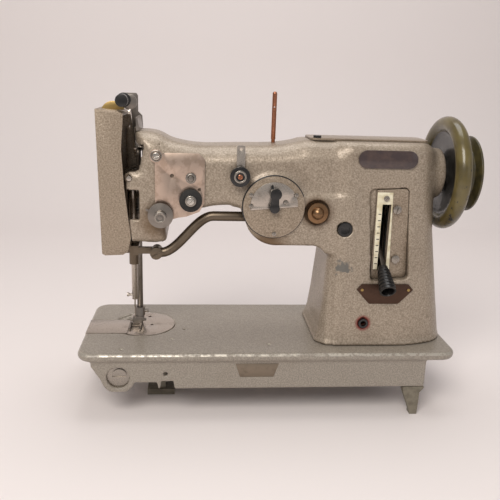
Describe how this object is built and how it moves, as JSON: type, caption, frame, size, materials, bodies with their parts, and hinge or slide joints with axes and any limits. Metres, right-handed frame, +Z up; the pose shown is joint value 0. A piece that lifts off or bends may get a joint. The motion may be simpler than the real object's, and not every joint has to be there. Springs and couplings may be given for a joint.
{
  "type": "industrial zigzag sewing machine head",
  "caption": "Flat-bed zigzag sewing machine head with a cast column and arm, handwheel, needle and presser bars, thread tensions, stitch controls and a rotary hook.",
  "frame": {"origin": "under the middle of the machine's box, on the surface that it stands on", "axes": "+X from the needle end to the handwheel, +Y from the operator's side to the rear, +Z up"},
  "size_m": [0.5046, 0.178, 0.3994],
  "materials": {
    "hammertone": "warm grey-beige hammertone enamel on cast iron",
    "bed_enamel": "smoother grey-brown enamel on cast iron, worn at the edge",
    "steel": "satin steel",
    "dark_steel": "blackened steel",
    "brown_steel": "browned steel",
    "bronze": "sintered bronze",
    "brass": "tarnished brass",
    "olive_enamel": "glossy mustard-olive enamel, chipped",
    "black_plastic": "black moulded plastic",
    "rubber": "black rubber",
    "badge": "dark brown enamel, blank",
    "etched": "brown etched plate, blank",
    "cream": null,
    "aluminium": "cast aluminium",
    "copper": "copper-coloured plated steel"
  },
  "bodies": {
    "machine": {"bed": "bed_enamel", "rest_feet": "bed_enamel", "hinge_stud": "steel", "serial_badge": "etched", "arm_casting": "hammertone", "top_cover": "hammertone", "oil_caps": "black_plastic", "brand_badge": "badge", "name_plate": "etched", "plate_rivets": "brass", "cover_screws": "steel", "dial_cover": "hammertone", "width_scale_plate": "steel", "length_panel": "hammertone", "length_scale_plate": "cream", "arm_shaft_bushings": "bronze", "timing_belt": "rubber", "lower_shaft_bushings": "bronze", "hook_bracket": "bed_enamel", "bobbin_case": "steel", "needle_plate": "steel", "pivot_pins": "steel", "presser_spring": "steel", "take_up_guard": "steel", "tension_plate": "steel", "tension_studs": "steel", "arm_thread_guide": "steel", "thread_pin": "copper"},
    "handwheel_assembly": {"handwheel": "olive_enamel", "drive_pulley": "dark_steel", "handwheel_nut": "steel", "arm_shaft": "steel", "upper_belt_pulley": "aluminium", "crank_counterweight": "dark_steel"},
    "lower_shaft_assembly": {"lower_belt_pulley": "aluminium", "lower_shaft": "steel", "rotary_hook": "steel"},
    "needle_frame": {"needle_frame": "brown_steel"},
    "zigzag_link": {"zigzag_link": "brown_steel"},
    "needle_bar": {"needle_bar": "steel", "needle": "steel"},
    "needle_link": {"needle_link": "dark_steel"},
    "presser_lifter": {"presser_lifter": "dark_steel"},
    "presser_bar": {"presser_bar": "steel", "presser_foot": "steel"},
    "take_up_lever": {"take_up_lever": "steel"},
    "check_spring": {"check_spring": "steel"},
    "main_tension_nut": {"main_tension_nut": "steel"},
    "upper_tension_nut": {"upper_tension_nut": "black_plastic"},
    "pretension_nut": {"pretension_nut": "black_plastic"},
    "thread_wheel": {"thread_wheel": "rubber"},
    "width_lever": {"width_lever": "black_plastic"},
    "position_knob": {"position_knob": "brown_steel"},
    "length_lever": {"length_lever": "dark_steel", "length_lever_grip": "black_plastic"},
    "feed": {"feed_dog": "steel", "feed_bar": "dark_steel"},
    "slide_plate": {"slide_plate": "steel"},
    "face_cover": {"face_cover": "hammertone", "cover_crest": "brass"}
  },
  "joints": [
    {"name": "handwheel_spin", "type": "hinge", "parent": "machine", "child": "handwheel_assembly", "pos_m": [0.0477, 0, 0.303], "axis": [1, 0, 0], "continuous": true},
    {"name": "lower_shaft_spin", "type": "hinge", "parent": "machine", "child": "lower_shaft_assembly", "pos_m": [0.0477, 0, 0.0554], "axis": [1, 0, 0], "continuous": true},
    {"name": "needle_frame_swing", "type": "hinge", "parent": "machine", "child": "needle_frame", "pos_m": [-0.1888, 0, 0.2944], "axis": [0, 1, 0], "range_deg": [-1.2, 1.2]},
    {"name": "zigzag_link_hinge", "type": "hinge", "parent": "needle_frame", "child": "zigzag_link", "pos_m": [-0.1578, -0.029, 0.2004], "axis": [0, 1, 0], "range_deg": [-1.2, 1.2]},
    {"name": "needle_bar_slide", "type": "slide", "parent": "needle_frame", "child": "needle_bar", "axis": [0, 0, 1], "range_m": [-0.034, 0]},
    {"name": "needle_link_swing", "type": "hinge", "parent": "needle_bar", "child": "needle_link", "pos_m": [-0.1807, 0, 0.2734], "axis": [-1, 0, 0], "range_deg": [-10, 5]},
    {"name": "presser_lifter_turn", "type": "hinge", "parent": "machine", "child": "presser_lifter", "pos_m": [-0.1613, 0.031, 0.2394], "axis": [0, 1, 0], "range_deg": [0, 50]},
    {"name": "presser_bar_slide", "type": "slide", "parent": "machine", "child": "presser_bar", "axis": [0, 0, 1], "range_m": [0, 0.007], "deforming": ["presser_spring"]},
    {"name": "take_up_swing", "type": "hinge", "parent": "machine", "child": "take_up_lever", "pos_m": [-0.1863, 0.015, 0.3254], "axis": [1, 0, 0], "range_deg": [0, 45]},
    {"name": "check_spring_swing", "type": "hinge", "parent": "machine", "child": "check_spring", "pos_m": [-0.1513, -0.049, 0.252], "axis": [0, 1, 0], "range_deg": [0, 30], "stiffness_Nm_per_rad": 0.02},
    {"name": "main_tension_turn", "type": "hinge", "parent": "machine", "child": "main_tension_nut", "pos_m": [-0.1513, -0.059, 0.252], "axis": [0, 1, 0], "range_deg": [-150, 150]},
    {"name": "upper_tension_turn", "type": "hinge", "parent": "machine", "child": "upper_tension_nut", "pos_m": [-0.1953, -0.039, 0.3849], "axis": [0, 1, 0], "range_deg": [-150, 150]},
    {"name": "pretension_turn", "type": "hinge", "parent": "machine", "child": "pretension_nut", "pos_m": [-0.0569, -0.054, 0.3011], "axis": [0, 1, 0], "range_deg": [-150, 150]},
    {"name": "thread_wheel_spin", "type": "hinge", "parent": "machine", "child": "thread_wheel", "pos_m": [-0.1153, -0.053, 0.271], "axis": [0, 1, 0], "continuous": true},
    {"name": "width_lever_swing", "type": "hinge", "parent": "machine", "child": "width_lever", "pos_m": [-0.0143, -0.051, 0.2637], "axis": [0, 1, 0], "range_deg": [-35, 35]},
    {"name": "position_knob_turn", "type": "hinge", "parent": "machine", "child": "position_knob", "pos_m": [0.0393, -0.051, 0.2579], "axis": [0, 1, 0], "range_deg": [-60, 60]},
    {"name": "length_lever_swing", "type": "hinge", "parent": "machine", "child": "length_lever", "pos_m": [0.1267, 0.008, 0.233], "axis": [-1, 0, 0], "range_deg": [0, 60]},
    {"name": "feed_slide", "type": "slide", "parent": "machine", "child": "feed", "axis": [0, 1, 0], "range_m": [-0.002, 0.002]},
    {"name": "slide_plate_slide", "type": "slide", "parent": "machine", "child": "slide_plate", "axis": [-1, 0, 0], "range_m": [0, 0.03]},
    {"name": "face_cover_swing", "type": "hinge", "parent": "machine", "child": "face_cover", "pos_m": [-0.1858, 0.0475, 0.2874], "axis": [0, 0, -1], "range_deg": [0, 95]}
  ],
  "couplings": [
    {"joint": "lower_shaft_spin", "follows": "handwheel_spin", "ratio": 2},
    {"joint": "zigzag_link_hinge", "follows": "needle_frame_swing", "ratio": -1},
    {"joint": "presser_lifter_turn", "follows": "presser_bar_slide", "rad_per_m": 124.6}
  ]
}
